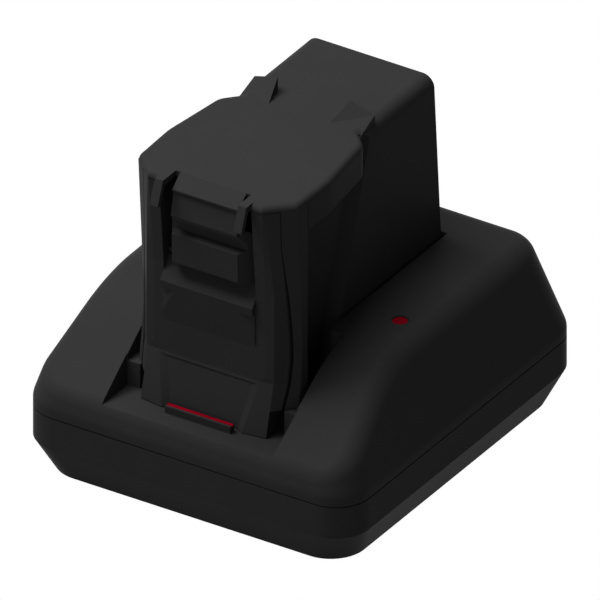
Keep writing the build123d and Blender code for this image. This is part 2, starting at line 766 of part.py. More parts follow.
# --- Battery base: floor plate with the terminal socket, ribs under the cells and board posts ---
cell_front_y = cell_centre_y - cell_length / 2
cell_back_y = cell_centre_y + cell_length / 2
cell_low_z = pack_bottom_z + cell_lowest_rise
cell_spots = [((column - 1) * cell_pitch, cell_low_z + row * cell_pitch)
              for row in range(cell_rows)
              for column in (range(cell_columns) if row % 2 == 0 else reversed(range(cell_columns)))]
holder_bottom_z = cell_low_z - cell_diameter / 2 - holder_margin
holder_front_y = cell_front_y + front_holder_inset
holder_rear_y = cell_back_y - holder_inset - holder_thickness
terminal_xs = [(index - (terminal_count - 1) / 2) * terminal_pitch for index in range(terminal_count)]
clip_half = blade_thickness / 2 + blade_gap + clip_thickness
clip_roof_z = pack_bottom_z + socket_height - 1.2
pack_board_z = pack_bottom_z + socket_height + 0.6
pack_post_spots = [(x, y) for x in (-18.0, 18.0) for y in (-46.0, -22.0)]
base_head_height = 1.3
with BuildPart() as battery_base:
    loft([block_section(pack_bottom_z, case_wall + fit_gap, neck_wall + fit_gap),
          block_section(base_top_z, case_wall + fit_gap, neck_wall + fit_gap)], ruled=True)
    add(box_between(-neck_inner + fit_gap, neck_inner - fit_gap,
                    cover_back_y + neck_front_wall + fit_gap, -20.0,
                    pack_bottom_z, base_top_z))
    add(box_between(-socket_width / 2, socket_width / 2, terminal_y - socket_depth / 2,
                    terminal_y + socket_depth / 2, pack_bottom_z, pack_bottom_z + socket_height))
    for y in (holder_front_y + 2.0, holder_rear_y + 2.0):
        add(box_between(-24.0, 24.0, y, y + 2.0, pack_bottom_z, holder_bottom_z))
    for x in terminal_xs:
        add(box_between(x - clip_half - fit_gap / 3, x + clip_half + fit_gap / 3,
                        terminal_y - blade_width / 2 - 0.5, terminal_y + blade_width / 2 + 0.5,
                        pack_bottom_z - 1, clip_roof_z), mode=Mode.SUBTRACT)
    for x, y in pack_post_spots:
        with BuildSketch(Plane.XY.offset(base_top_z)):
            with Locations((x, y)):
                Circle(2.5)
        extrude(amount=pack_board_z - base_top_z)
    for x, y in boss_spots:
        with BuildSketch(Plane.XY.offset(pack_bottom_z)):
            with Locations((x, y)):
                Circle(1.5)
        extrude(amount=pack_floor, mode=Mode.SUBTRACT)
        with BuildSketch(Plane.XY.offset(pack_bottom_z)):
            with Locations((x, y)):
                Circle(2.7)
        extrude(amount=base_head_height + 0.1, mode=Mode.SUBTRACT)
finish(battery_base.part, "battery_base")

with BuildPart() as base_screws:
    for x, y in boss_spots:
        with BuildSketch(Plane.XY.offset(pack_bottom_z + 0.1)):
            with Locations((x, y)):
                Circle(2.5)
        extrude(amount=base_head_height)
        with BuildSketch(Plane.XY.offset(pack_bottom_z + 0.1 + base_head_height)):
            with Locations((x, y)):
                Circle(1.2)
        extrude(amount=pack_floor + 6.0 - base_head_height)
finish(base_screws.part, "base_screws")

# --- Cells, their two holders and the welded strips that join them in series ---
with BuildPart() as cells:
    with BuildSketch(Plane.XZ.offset(-cell_back_y)):
        with Locations(*cell_spots):
            Circle(cell_diameter / 2)
    extrude(amount=cell_length)
finish(cells.part, "cells")

holder_half_width = cell_pitch + cell_diameter / 2 + holder_margin
holder_height = (cell_rows - 1) * cell_pitch + cell_diameter + 2 * holder_margin
with BuildPart() as cell_holder_front:
    with BuildSketch(Plane.XZ.offset(-holder_front_y - holder_thickness)):
        with Locations((0, holder_bottom_z + holder_height / 2)):
            Rectangle(2 * holder_half_width, holder_height)
        with Locations(*cell_spots):
            Circle(cell_diameter / 2 + 0.05, mode=Mode.SUBTRACT)
    extrude(amount=holder_thickness)
finish(cell_holder_front.part, "cell_holder_front")

with BuildPart() as cell_holder_rear:
    with BuildSketch(Plane.XZ.offset(-holder_rear_y - holder_thickness)):
        with Locations((0, holder_bottom_z + holder_height / 2)):
            Rectangle(2 * holder_half_width, holder_height)
        with Locations(*cell_spots):
            Circle(cell_diameter / 2 + 0.05, mode=Mode.SUBTRACT)
    extrude(amount=holder_thickness)
finish(cell_holder_rear.part, "cell_holder_rear")

strip_width = 7.0


def strip_groups(first):
    """Cells joined in pairs along the series, starting at one cell, with single tabs at the ends."""
    groups = [cell_spots[index:index + 2] for index in range(first, len(cell_spots), 2)]
    return ([cell_spots[:first]] if first else []) + groups


def strip_sketch(group):
    """One strip from cell centre to cell centre."""
    xs = [spot[0] for spot in group]
    zs = [spot[1] for spot in group]
    with Locations(((min(xs) + max(xs)) / 2, (min(zs) + max(zs)) / 2)):
        Rectangle(max(xs) - min(xs) + strip_width, max(zs) - min(zs) + strip_width)


with BuildPart() as bus_strips_front:
    with BuildSketch(Plane.XZ.offset(-cell_front_y)):
        for group in strip_groups(0):
            strip_sketch(group)
    extrude(amount=strip_thickness)
finish(bus_strips_front.part, "bus_strips_front")

with BuildPart() as bus_strips_rear:
    with BuildSketch(Plane.XZ.offset(-cell_back_y - strip_thickness)):
        for group in strip_groups(1):
            strip_sketch(group)
    extrude(amount=strip_thickness)
finish(bus_strips_rear.part, "bus_strips_rear")

# --- Battery board and the spring clips that take the charger's blades ---
with BuildPart() as battery_board:
    add(box_between(-24.0, 24.0, -54.0, -16.5, pack_board_z, pack_board_z + board_thickness))
    chips_z = pack_board_z + board_thickness
    add(box_between(-6.0, 6.0, -42.0, -30.0, chips_z, chips_z + 1.6))
    add(box_between(12.0, 20.0, -40.0, -32.0, chips_z, chips_z + 1.2))
    for x in (-20.0, -13.0, 10.0, 17.0):
        add(box_between(x, x + 5.0, -28.0, -22.0, chips_z, chips_z + 1.4))
    add(box_between(-21.0, -9.0, -52.0, -47.0, chips_z, chips_z + 6.0))
finish(battery_board.part, "battery_board")

with BuildPart() as battery_terminals:
    clip_low_z = pack_bottom_z + 1.0
    clip_y = (terminal_y - blade_width / 2 - 0.3, terminal_y + blade_width / 2 + 0.3)
    for x in terminal_xs:
        add(box_between(x - clip_half, x + clip_half, *clip_y, clip_low_z, clip_roof_z))
        add(box_between(x - clip_half + clip_thickness, x + clip_half - clip_thickness, *clip_y,
                        clip_low_z, clip_roof_z - clip_thickness), mode=Mode.SUBTRACT)
finish(battery_terminals.part, "battery_terminals")

# --- Release lever: its pin and the torsion spring on the pin ---
with BuildPart() as lever_pin:
    with BuildSketch(Plane.YZ):
        with Locations((pin_y, pin_z)):
            Circle(pin_diameter / 2)
    extrude(amount=pocket_half_width + 1.9, both=True)
finish(lever_pin.part, "lever_pin")

coil_radius = pin_diameter / 2 + 0.3 + coil_wire / 2
coil_pitch = 1.0
coil_turns = 7
coil_half = coil_pitch * coil_turns / 2
leg_x = coil_half + coil_wire + 0.05
with BuildPart() as lever_spring:
    with BuildLine() as coil:
        Helix(coil_pitch, 2 * coil_half, coil_radius, center=(-coil_half, pin_y, pin_z), direction=(1, 0, 0))
    with BuildSketch(Plane(origin=coil.line @ 0, z_dir=coil.line % 0)):
        Circle(coil_wire / 2)
    sweep()
    for x, low_z, high_z in ((-leg_x, pin_z - 2.4, pin_z), (leg_x, pin_z, pin_z + 4.9)):
        with BuildSketch(Plane.XY.offset(low_z)):
            with Locations((x, pin_y + coil_radius)):
                Circle(coil_wire / 2)
        extrude(amount=high_z - low_z)
finish(lever_spring.part, "lever_spring")

# --- Charge gauge on the back: board with lights and switch, window and push button ---
gauge_z = pack_bottom_z + gauge_rise
gauge_outer_y = block_back_y - block_back_slope * gauge_rise
gauge_inner_y = gauge_outer_y - case_wall
with BuildPart() as gauge_board:
    board_face_y = gauge_board_y + board_thickness
    add(box_between(-21.5, 21.5, gauge_board_y, board_face_y, gauge_z - 6.0, gauge_z + 6.0))
    for index in range(4):
        x = gauge_window_x + (index - 1.5) * gauge_window_width / 4
        add(box_between(x - 1.0, x + 1.0, board_face_y, board_face_y + 0.8, gauge_z - 0.6, gauge_z + 0.6))
    add(box_between(button_x - 3.0, button_x + 3.0, board_face_y, board_face_y + 0.6,
                    gauge_z - 3.0, gauge_z + 3.0))
finish(gauge_board.part, "gauge_board")

with BuildPart() as gauge_window:
    with BuildSketch(Plane.XZ.offset(-gauge_outer_y - 0.2)):
        with Locations((gauge_window_x, gauge_z)):
            RectangleRounded(gauge_window_width - 2 * slide_gap, gauge_window_height - 2 * slide_gap, 1.0)
    extrude(amount=case_wall + 0.4)
    with BuildSketch(Plane.XZ.offset(-gauge_inner_y + 0.2)):
        with Locations((gauge_window_x, gauge_z)):
            RectangleRounded(gauge_window_width + 3.0, gauge_window_height + 3.0, 1.5)
    extrude(amount=0.8)
finish(gauge_window.part, "gauge_window")

with BuildPart() as gauge_button:
    with BuildSketch(Plane.XZ.offset(-gauge_outer_y - button_proud)):
        with Locations((button_x, gauge_z)):
            Circle(button_diameter / 2)
    extrude(amount=case_wall + button_proud + 0.2)
    with BuildSketch(Plane.XZ.offset(-gauge_inner_y + 0.2)):
        with Locations((button_x, gauge_z)):
            Circle(button_diameter / 2 + button_flange_reach)
    extrude(amount=button_flange)
finish(gauge_button.part, "gauge_button")

# --- Light bar, status window with its light pipe, and the feet ---
with BuildPart() as light_bar:
    bar_z = floor_z + rib_height - light_bar_thickness
    rib_back_y = rib_front_y + rib_depth
    web_y = rib_front_y + (rib_depth + rib_lip) / 2
    add(box_between(-rib_half_width, rib_half_width, rib_front_y + rib_lip, rib_back_y,
                    bar_z, floor_z + rib_height))
    add(box_between(-light_web_half, light_web_half, web_y - light_web / 2, web_y + light_web / 2,
                    bay_under_z - 1.0, bar_z))
finish(light_bar.part, "light_bar")

with BuildPart() as status_window:
    with BuildSketch(Plane.XY.offset(top_z - window_seat)):
        with Locations((window_x, window_y)):
            Circle(window_diameter / 2)
    extrude(amount=window_seat - window_recess - 0.2)
    with BuildSketch(Plane.XY.offset(board_top_z + 5.5)):
        with Locations((window_x, window_y)):
            Circle(pipe_diameter / 2)
    extrude(amount=top_z - window_seat - board_top_z - 5.5)
finish(status_window.part, "status_window")

with BuildPart() as rubber_feet:
    with BuildSketch():
        with Locations(*foot_places):
            Circle(foot_diameter / 2)
    extrude(amount=foot_thickness)
    fillet(rubber_feet.edges().group_by(Axis.Z)[0], 0.6)
finish(rubber_feet.part, "rubber_feet")

with BuildPart() as case_screws:
    for x, y in boss_places:
        with BuildSketch(Plane.XY.offset(head_seat_z - screw_head_height)):
            with Locations((x, y)):
                Circle(screw_head_diameter / 2)
        extrude(amount=screw_head_height)
        with BuildSketch(Plane.XY.offset(head_seat_z)):
            with Locations((x, y)):
                Circle(screw_diameter / 2)
        extrude(amount=post_top_z - head_seat_z + screw_bite)
        with BuildSketch(Plane.XY.offset(head_seat_z - screw_head_height)):
            with Locations((x, y)):
                Rectangle(3.6, 0.9)
                Rectangle(0.9, 3.6)
        extrude(amount=1.4, mode=Mode.SUBTRACT)
finish(case_screws.part, "case_screws")

# --- Main board and what stands on it ---
with BuildPart() as main_board:
    with BuildSketch(Plane.XY.offset(board_z)):
        with Locations((0, (board_front_y + board_back_y) / 2)):
            RectangleRounded(2 * board_half_width, board_back_y - board_front_y, 8.0)
        with Locations(*boss_places):
            Circle(boss_diameter / 2 + 1.6, mode=Mode.SUBTRACT)
        with Locations(*standoff_places):
            Circle(screw_diameter / 2 + 0.2, mode=Mode.SUBTRACT)
    extrude(amount=board_thickness)
    for x, y, wide, deep, high in board_chips:
        add(box_between(x - wide / 2, x + wide / 2, y - deep / 2, y + deep / 2,
                        board_top_z, board_top_z + high))
finish(main_board.part, "main_board")

with BuildPart() as board_screws:
    for x, y in standoff_places:
        with BuildSketch(Plane.XY.offset(board_top_z)):
            with Locations((x, y)):
                Circle(screw_head_diameter / 2)
        extrude(amount=screw_head_height)
        with BuildSketch(Plane.XY.offset(board_top_z)):
            with Locations((x, y)):
                Circle(screw_diameter / 2)
        extrude(amount=-board_thickness - board_rise + 0.5)
        with BuildSketch(Plane.XY.offset(board_top_z + screw_head_height)):
            with Locations((x, y)):
                Rectangle(3.6, 0.9)
                Rectangle(0.9, 3.6)
        extrude(amount=-1.4, mode=Mode.SUBTRACT)
finish(board_screws.part, "board_screws")

with BuildPart() as transformer_core:
    add(box_between(-core_width / 2, core_width / 2, core_y - core_depth / 2, core_y + core_depth / 2,
                    board_top_z, board_top_z + core_height))
    for side in (-1, 1):
        inner = core_leg / 2
        outer = core_width / 2 - core_leg / 2
        window = (inner, outer) if side > 0 else (-outer, -inner)
        add(box_between(*window, core_y - core_depth, core_y + core_depth, board_top_z + core_leg / 2,
                        board_top_z + core_height - core_leg / 2), mode=Mode.SUBTRACT)
finish(transformer_core.part, "transformer_core")

with BuildPart() as transformer_winding:
    winding_half = core_width / 2 - core_leg / 2 - 0.6
    winding_reach = core_depth / 2 + winding_half - core_leg / 2
    with BuildSketch(Plane.XY.offset(board_top_z + core_leg / 2)):
        with Locations((0, core_y)):
            RectangleRounded(2 * winding_half, 2 * winding_reach, 6.0)
            Rectangle(core_leg, core_depth, mode=Mode.SUBTRACT)
    extrude(amount=core_height - core_leg)
finish(transformer_winding.part, "transformer_winding")

with BuildPart() as mains_capacitors:
    with BuildSketch(Plane.XY.offset(board_top_z)):
        with Locations(*[(capacitor_x, y) for y in capacitor_ys]):
            Circle(capacitor_diameter / 2)
    extrude(amount=capacitor_height)
    fillet(mains_capacitors.edges().group_by(Axis.Z)[-1], 0.8)
finish(mains_capacitors.part, "mains_capacitors")

with BuildPart() as heat_sink:
    add(box_between(sink_x, sink_x + sink_plate, sink_front_y, sink_back_y,
                    board_top_z, board_top_z + sink_height))
    for index in range(sink_fins):
        fin_y = sink_front_y + index * (sink_back_y - sink_front_y - sink_fin) / (sink_fins - 1)
        add(box_between(sink_x, sink_x + sink_reach, fin_y, fin_y + sink_fin, board_top_z,
                        board_top_z + sink_height))
finish(heat_sink.part, "heat_sink")

with BuildPart() as power_transistors:
    for y in transistor_ys:
        add(box_between(sink_x - 4.5, sink_x, y - 5.0, y + 5.0, board_top_z + 7.0, board_top_z + 22.0))
        for lead_y in (y - 2.5, y, y + 2.5):
            add(box_between(sink_x - 2.7, sink_x - 2.1, lead_y - 0.4, lead_y + 0.4,
                            board_top_z, board_top_z + 7.0))
finish(power_transistors.part, "power_transistors")

with BuildPart() as filter_choke:
    with BuildSketch(Plane.XZ.offset(-choke_y)):
        with Locations((choke_x + choke_radius, board_top_z + choke_wire)):
            Circle(choke_wire)
    revolve(axis=Axis((choke_x, choke_y, 0), (0, 0, 1)))
finish(filter_choke.part, "filter_choke")

with BuildPart() as fuse:
    for y in (fuse_y - 8.0, fuse_y + 8.0):
        add(box_between(fuse_x - 3.2, fuse_x + 3.2, y - 2.0, y + 2.0, board_top_z, board_top_z + 5.0))
    with BuildSketch(Plane.XZ.offset(-fuse_y - 10.0)):
        with Locations((fuse_x, board_top_z + 5.0)):
            Circle(2.6)
    extrude(amount=20.0)
finish(fuse.part, "fuse")

# --- Mains inlet at the back wall with its two pins ---
inlet_z = shell_bottom_z + inlet_rise
inlet_places = [(inlet_x - inlet_pin_gap / 2, inlet_z), (inlet_x + inlet_pin_gap / 2, inlet_z)]
with BuildPart() as mains_inlet:
    add(box_between(inlet_x - inlet_width / 2, inlet_x + inlet_width / 2, inlet_front_y, half_depth,
                    inlet_z - inlet_height / 2, inlet_z + inlet_height / 2))
    add(box_between(inlet_x - inlet_width / 2, inlet_x + inlet_width / 2, inlet_front_y, board_back_y,
                    board_top_z, inlet_z))
    with BuildSketch(Plane.XZ.offset(-half_depth)):
        with Locations(*inlet_places):
            Circle(inlet_height / 2 - 1.3)
        with Locations((inlet_x, inlet_z)):
            Rectangle(inlet_pin_gap, inlet_height - 4.6)
    extrude(amount=inlet_depth, mode=Mode.SUBTRACT)
    with BuildSketch(Plane.XZ.offset(-half_depth)):
        with Locations(*inlet_places):
            Circle(inlet_pin_diameter / 2)
    extrude(amount=half_depth - inlet_front_y - 2.0, mode=Mode.SUBTRACT)
finish(mains_inlet.part, "mains_inlet")

with BuildPart() as inlet_pins:
    with BuildSketch(Plane.XZ.offset(-half_depth + 3.0)):
        with Locations(*inlet_places):
            Circle(inlet_pin_diameter / 2)
    extrude(amount=half_depth - inlet_front_y - 5.0)
finish(inlet_pins.part, "inlet_pins")

# --- Terminal block through the bay floor and its five blades ---
with BuildPart() as terminal_block:
    add(box_between(-block_half, block_half, terminal_y - block_reach, terminal_y + block_reach,
                    board_top_z, floor_z))
    for x in terminal_xs:
        add(box_between(x - blade_thickness / 2, x + blade_thickness / 2, terminal_y - blade_width / 2,
                        terminal_y + blade_width / 2, board_top_z, floor_z), mode=Mode.SUBTRACT)
finish(terminal_block.part, "terminal_block")

with BuildPart() as contact_blades:
    for x in terminal_xs:
        add(box_between(x - blade_thickness / 2, x + blade_thickness / 2, terminal_y - blade_width / 2,
                        terminal_y + blade_width / 2, board_top_z, floor_z + blade_rise))
finish(contact_blades.part, "contact_blades")

# --- Lamps behind the window and under the light bar ---
with BuildPart() as status_led:
    with BuildSketch(Plane.XY.offset(board_top_z)):
        with Locations((window_x, window_y)):
            Circle(2.5)
    extrude(amount=4.8)
    fillet(status_led.edges().group_by(Axis.Z)[-1], 1.5)
finish(status_led.part, "status_led")

with BuildPart() as bar_leds:
    add(box_between(-lamp_board_half, lamp_board_half, web_y - 3.0, web_y + 3.0,
                    lamp_board_z - 1.2, lamp_board_z))
    for index in range(4):
        x = (index - 1.5) * 8.0
        add(box_between(x - 1.5, x + 1.5, web_y - 1.4, web_y + 1.4, lamp_board_z, lamp_board_z + 1.6))
finish(bar_leds.part, "bar_leds")
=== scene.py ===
from math import cos, radians, sin

import bpy
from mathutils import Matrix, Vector

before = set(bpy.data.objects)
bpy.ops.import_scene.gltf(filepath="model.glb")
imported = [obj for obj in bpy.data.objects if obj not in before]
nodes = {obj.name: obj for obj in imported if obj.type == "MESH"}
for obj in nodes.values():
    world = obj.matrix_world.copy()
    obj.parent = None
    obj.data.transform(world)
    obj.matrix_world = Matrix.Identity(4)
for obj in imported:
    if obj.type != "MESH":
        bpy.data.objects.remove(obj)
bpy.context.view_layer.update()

# Camera: parallel sight lines looking down on the charger's front right
# corner, so its edges stay parallel. The view is 267 mm across.
camera_turn = radians(32.43)
camera_rise = radians(30.92)
view_points = 600
points_per_metre = 2250
points_up = 129.4
points_right = 0.1
camera_distance = 1.2
far_clip = 10
camera_back = Vector((
    sin(camera_turn) * cos(camera_rise),
    -cos(camera_turn) * cos(camera_rise),
    sin(camera_rise),
))
camera_up = Vector((
    -sin(camera_turn) * sin(camera_rise),
    cos(camera_turn) * sin(camera_rise),
    cos(camera_rise),
))
camera_right = camera_up.cross(camera_back)
tray_centre = Vector((0, 0, 0.001))
view_centre = tray_centre + camera_up * (points_up / points_per_metre)
view_centre += camera_right * (points_right / points_per_metre)
lens = bpy.data.cameras.new("view")
lens.type = "ORTHO"
lens.ortho_scale = view_points / points_per_metre
lens.clip_end = far_clip
camera = bpy.data.objects.new("view", lens)
camera.location = view_centre + camera_back * camera_distance
camera.rotation_mode = "QUATERNION"
camera.rotation_quaternion = camera_back.to_track_quat("Z", "Y")
bpy.context.scene.collection.objects.link(camera)
bpy.context.scene.camera = camera

# Floor: a white studio sweep under the four rubber feet. The eye and any
# gloss see it white, and it gives the plastic only a little light back.
floor_reach = 6.0
floor_tone = 0.28
floor_corners = [
    (-floor_reach, -floor_reach, 0),
    (floor_reach, -floor_reach, 0),
    (floor_reach, floor_reach, 0),
    (-floor_reach, floor_reach, 0),
]
floor_mesh = bpy.data.meshes.new("studio_floor")
floor_mesh.from_pydata(floor_corners, [], [(0, 1, 2, 3)])
floor = bpy.data.objects.new("studio_floor", floor_mesh)
bpy.context.scene.collection.objects.link(floor)


def seen_by(tree, *rays):
    """1 for the named kinds of ray and 0 for all the others."""
    paths = tree.nodes.new("ShaderNodeLightPath")
    seen = paths.outputs[rays[0]]
    for ray in rays[1:]:
        either = tree.nodes.new("ShaderNodeMath")
        either.operation = "MAXIMUM"
        tree.links.new(seen, either.inputs[0])
        tree.links.new(paths.outputs[ray], either.inputs[1])
        seen = either.outputs[0]
    return seen


floor_paint = bpy.data.materials.new("studio_white")
floor_paint.use_nodes = True
tree = floor_paint.node_tree
matt = tree.nodes["Principled BSDF"]
matt.inputs["Base Color"].default_value = (floor_tone, floor_tone, floor_tone, 1)
matt.inputs["Roughness"].default_value = 1.0
matt.inputs["Specular IOR Level"].default_value = 0.0
white = tree.nodes.new("ShaderNodeEmission")
white.inputs["Color"].default_value = (1, 1, 1, 1)
white.inputs["Strength"].default_value = 1.0
floor_mix = tree.nodes.new("ShaderNodeMixShader")
tree.links.new(seen_by(tree, "Is Camera Ray", "Is Glossy Ray"), floor_mix.inputs[0])
tree.links.new(matt.outputs[0], floor_mix.inputs[1])
tree.links.new(white.outputs[0], floor_mix.inputs[2])
tree.links.new(floor_mix.outputs[0], tree.nodes["Material Output"].inputs["Surface"])
floor_mesh.materials.append(floor_paint)

# Studio light: a wide soft box overhead, a smaller one on the left, two weak
# ones low at the front, and a dim room that still looks white behind it all.
room_glow = 0.14
room = bpy.data.worlds.new("studio_room")
bpy.context.scene.world = room
room.use_nodes = True
tree = room.node_tree
strength = tree.nodes.new("ShaderNodeMapRange")
strength.inputs["To Min"].default_value = room_glow
strength.inputs["To Max"].default_value = 1.0
shown = seen_by(tree, "Is Camera Ray", "Is Glossy Ray", "Is Transmission Ray")
tree.links.new(shown, strength.inputs["Value"])
tree.links.new(strength.outputs["Result"], tree.nodes["Background"].inputs["Strength"])
tree.nodes["Background"].inputs["Color"].default_value = (1, 1, 1, 1)


def soft_box(name, place, aim_height, width, watts):
    """Square lamp that is turned to a point above the charger's middle."""
    light = bpy.data.lights.new(name, "AREA")
    light.shape = "SQUARE"
    light.size = width
    light.energy = watts
    lamp = bpy.data.objects.new(name, light)
    lamp.location = place
    lamp.rotation_mode = "QUATERNION"
    towards = Vector(place) - Vector((0, 0, aim_height))
    lamp.rotation_quaternion = towards.to_track_quat("Z", "Y")
    bpy.context.scene.collection.objects.link(lamp)


soft_box("soft_box_above", (-0.46, -0.10, 1.38), 0.08, 1.0, 28.0)
soft_box("soft_box_left", (-0.68, -0.40, 1.25), 0.08, 0.4, 7.0)
soft_box("soft_box_front", (-0.62, -1.48, 0.30), 0.08, 0.5, 0.8)
soft_box("soft_box_right", (0.36, -1.50, 0.40), 0.06, 0.5, 3.2)

# Charger shells: two injection moulded halves in satin black plastic with a
# fine spark-eroded grain. Their sharp edges are broken by a hair of radius.


def own_noise(tree, scale):
    """Noise of one scale that stays with the piece."""
    place = tree.nodes.new("ShaderNodeTexCoord")
    noise = tree.nodes.new("ShaderNodeTexNoise")
    noise.inputs["Scale"].default_value = scale
    tree.links.new(place.outputs["Object"], noise.inputs["Vector"])
    return noise


def between(tree, source, low_tone, high_tone):
    """Colour between two tones, chosen by a value from 0 to 1."""
    tones = tree.nodes.new("ShaderNodeMapRange")
    tones.data_type = "FLOAT_VECTOR"
    value, low_socket, high_socket = tones.inputs[6], tones.inputs[9], tones.inputs[10]
    low_socket.default_value = low_tone
    high_socket.default_value = high_tone
    tree.links.new(source, value)
    return tones.outputs[1]


def moulded_grain():
    """Node group for the grain, the soft edges and the patches of a moulding."""
    group = bpy.data.node_groups.new("moulded_grain", "ShaderNodeTree")
    sizes = {
        "Grain size": 0.0006,
        "Grain depth": 0.15,
        "Edge radius": 0.0004,
        "Roughness": 0.4,
        "Roughness spread": 0.08,
    }
    for label, value in sizes.items():
        socket = group.interface.new_socket(label, in_out="INPUT", socket_type="NodeSocketFloat")
        socket.default_value = value
    group.interface.new_socket("Normal", in_out="OUTPUT", socket_type="NodeSocketVector")
    group.interface.new_socket("Roughness", in_out="OUTPUT", socket_type="NodeSocketFloat")
    group.interface.new_socket("Cloud", in_out="OUTPUT", socket_type="NodeSocketFloat")
    taken = group.nodes.new("NodeGroupInput")
    given = group.nodes.new("NodeGroupOutput")
    per_metre = group.nodes.new("ShaderNodeMath")
    per_metre.operation = "DIVIDE"
    per_metre.inputs[0].default_value = 1.0
    group.links.new(taken.outputs["Grain size"], per_metre.inputs[1])
    grain = own_noise(group, 1.0)
    grain.inputs["Detail"].default_value = 3.0
    group.links.new(per_metre.outputs[0], grain.inputs["Scale"])
    edge = group.nodes.new("ShaderNodeBevel")
    edge.samples = 4
    group.links.new(taken.outputs["Edge radius"], edge.inputs["Radius"])
    bump = group.nodes.new("ShaderNodeBump")
    bump.inputs["Distance"].default_value = 0.0001
    group.links.new(taken.outputs["Grain depth"], bump.inputs["Strength"])
    group.links.new(grain.outputs["Fac"], bump.inputs["Height"])
    group.links.new(edge.outputs["Normal"], bump.inputs["Normal"])
    group.links.new(bump.outputs["Normal"], given.inputs["Normal"])
    cloud = own_noise(group, 40.0)
    cloud.inputs["Detail"].default_value = 4.0
    spread = group.nodes.new("ShaderNodeMath")
    spread.operation = "MULTIPLY_ADD"
    group.links.new(cloud.outputs["Fac"], spread.inputs[0])
    group.links.new(taken.outputs["Roughness spread"], spread.inputs[1])
    group.links.new(taken.outputs["Roughness"], spread.inputs[2])
    group.links.new(spread.outputs[0], given.inputs["Roughness"])
    group.links.new(cloud.outputs["Fac"], given.inputs["Cloud"])
    return group


def new_material(name):
    """Material with its node tree and its principled shader."""
    material = bpy.data.materials.new(name)
    material.use_nodes = True
    return material, material.node_tree, material.node_tree.nodes["Principled BSDF"]


def moulded(name, shade, roughness, gloss, edge_radius):
    """Grained moulding, a little bluer where it is lighter."""
    plastic, tree, skin = new_material(name)
    grain = tree.nodes.new("ShaderNodeGroup")
    grain.node_tree = bpy.data.node_groups.get("moulded_grain") or moulded_grain()
    grain.inputs["Roughness"].default_value = roughness
    grain.inputs["Edge radius"].default_value = edge_radius
    low_tone = (shade * 0.92, shade * 0.92, shade * 0.94)
    high_tone = (shade * 1.08, shade * 1.08, shade * 1.12)
    tone = between(tree, grain.outputs["Cloud"], low_tone, high_tone)
    tree.links.new(tone, skin.inputs["Base Color"])
    tree.links.new(grain.outputs["Roughness"], skin.inputs["Roughness"])
    tree.links.new(grain.outputs["Normal"], skin.inputs["Normal"])
    skin.inputs["Specular IOR Level"].default_value = gloss
    return plastic


def dress(node, material):
    """Give a piece its one material."""
    mesh = nodes[node].data
    mesh.materials.clear()
    mesh.materials.append(material)


shell_plastic = moulded("charger_shell_plastic", 0.022, 0.42, 0.008, 0.0005)
dress("upper_shell", shell_plastic)
dress("lower_shell", shell_plastic)

# Battery housing: case, front cover, base, lever and gauge button, moulded in
# a slightly harder black plastic than the charger, with the same grain.
pack_plastic = moulded("battery_plastic", 0.023, 0.42, 0.006, 0.0005)
for node in ("battery_case", "battery_front_cover", "battery_base", "release_lever", "gauge_button"):
    dress(node, pack_plastic)

# Red lenses: the window and the light bar are clear red acrylic over their
# lamps. The lamps are off, so only a deep red shows.
red_lens, tree, skin = new_material("red_acrylic")
skin.inputs["Roughness"].default_value = 0.12
skin.inputs["Specular IOR Level"].default_value = 0.2
streak = own_noise(tree, 300.0)
steep = tree.nodes.new("ShaderNodeMapRange")
steep.inputs["From Min"].default_value = 0.2
steep.inputs["From Max"].default_value = 0.8
tree.links.new(streak.outputs["Fac"], steep.inputs["Value"])
deep_red = between(tree, steep.outputs["Result"], (0.12, 0.0, 0.004), (0.20, 0.0, 0.007))
tree.links.new(deep_red, skin.inputs["Base Color"])
dress("status_window", red_lens)
dress("light_bar", red_lens)

# Gauge window: smoked polycarbonate over the charge lamps on the battery's
# back, polished and greyer than the red lenses.
smoked, tree, skin = new_material("smoked_polycarbonate")
skin.inputs["Roughness"].default_value = 0.08
skin.inputs["Transmission Weight"].default_value = 0.35
streak = own_noise(tree, 180.0)
smoke = between(tree, streak.outputs["Fac"], (0.035, 0.035, 0.04), (0.075, 0.075, 0.08))
tree.links.new(smoke, skin.inputs["Base Color"])
dress("gauge_window", smoked)

# Rubber feet: soft dark rubber under the four corners, matt and a little
# lighter than the shells, with the same fine speckle.
dress("rubber_feet", moulded("foot_rubber", 0.035, 0.75, 0.15, 0.0004))

# Mains inlet: a heat resistant moulding of its own in the charger's back,
# smoother and glossier than the shells.
dress("mains_inlet", moulded("inlet_plastic", 0.014, 0.22, 0.35, 0.0003))

# Metal pieces: screws, pins, springs, blades, clips and strips. Each has a
# plated or rolled skin with fine scratches along it and dull patches.


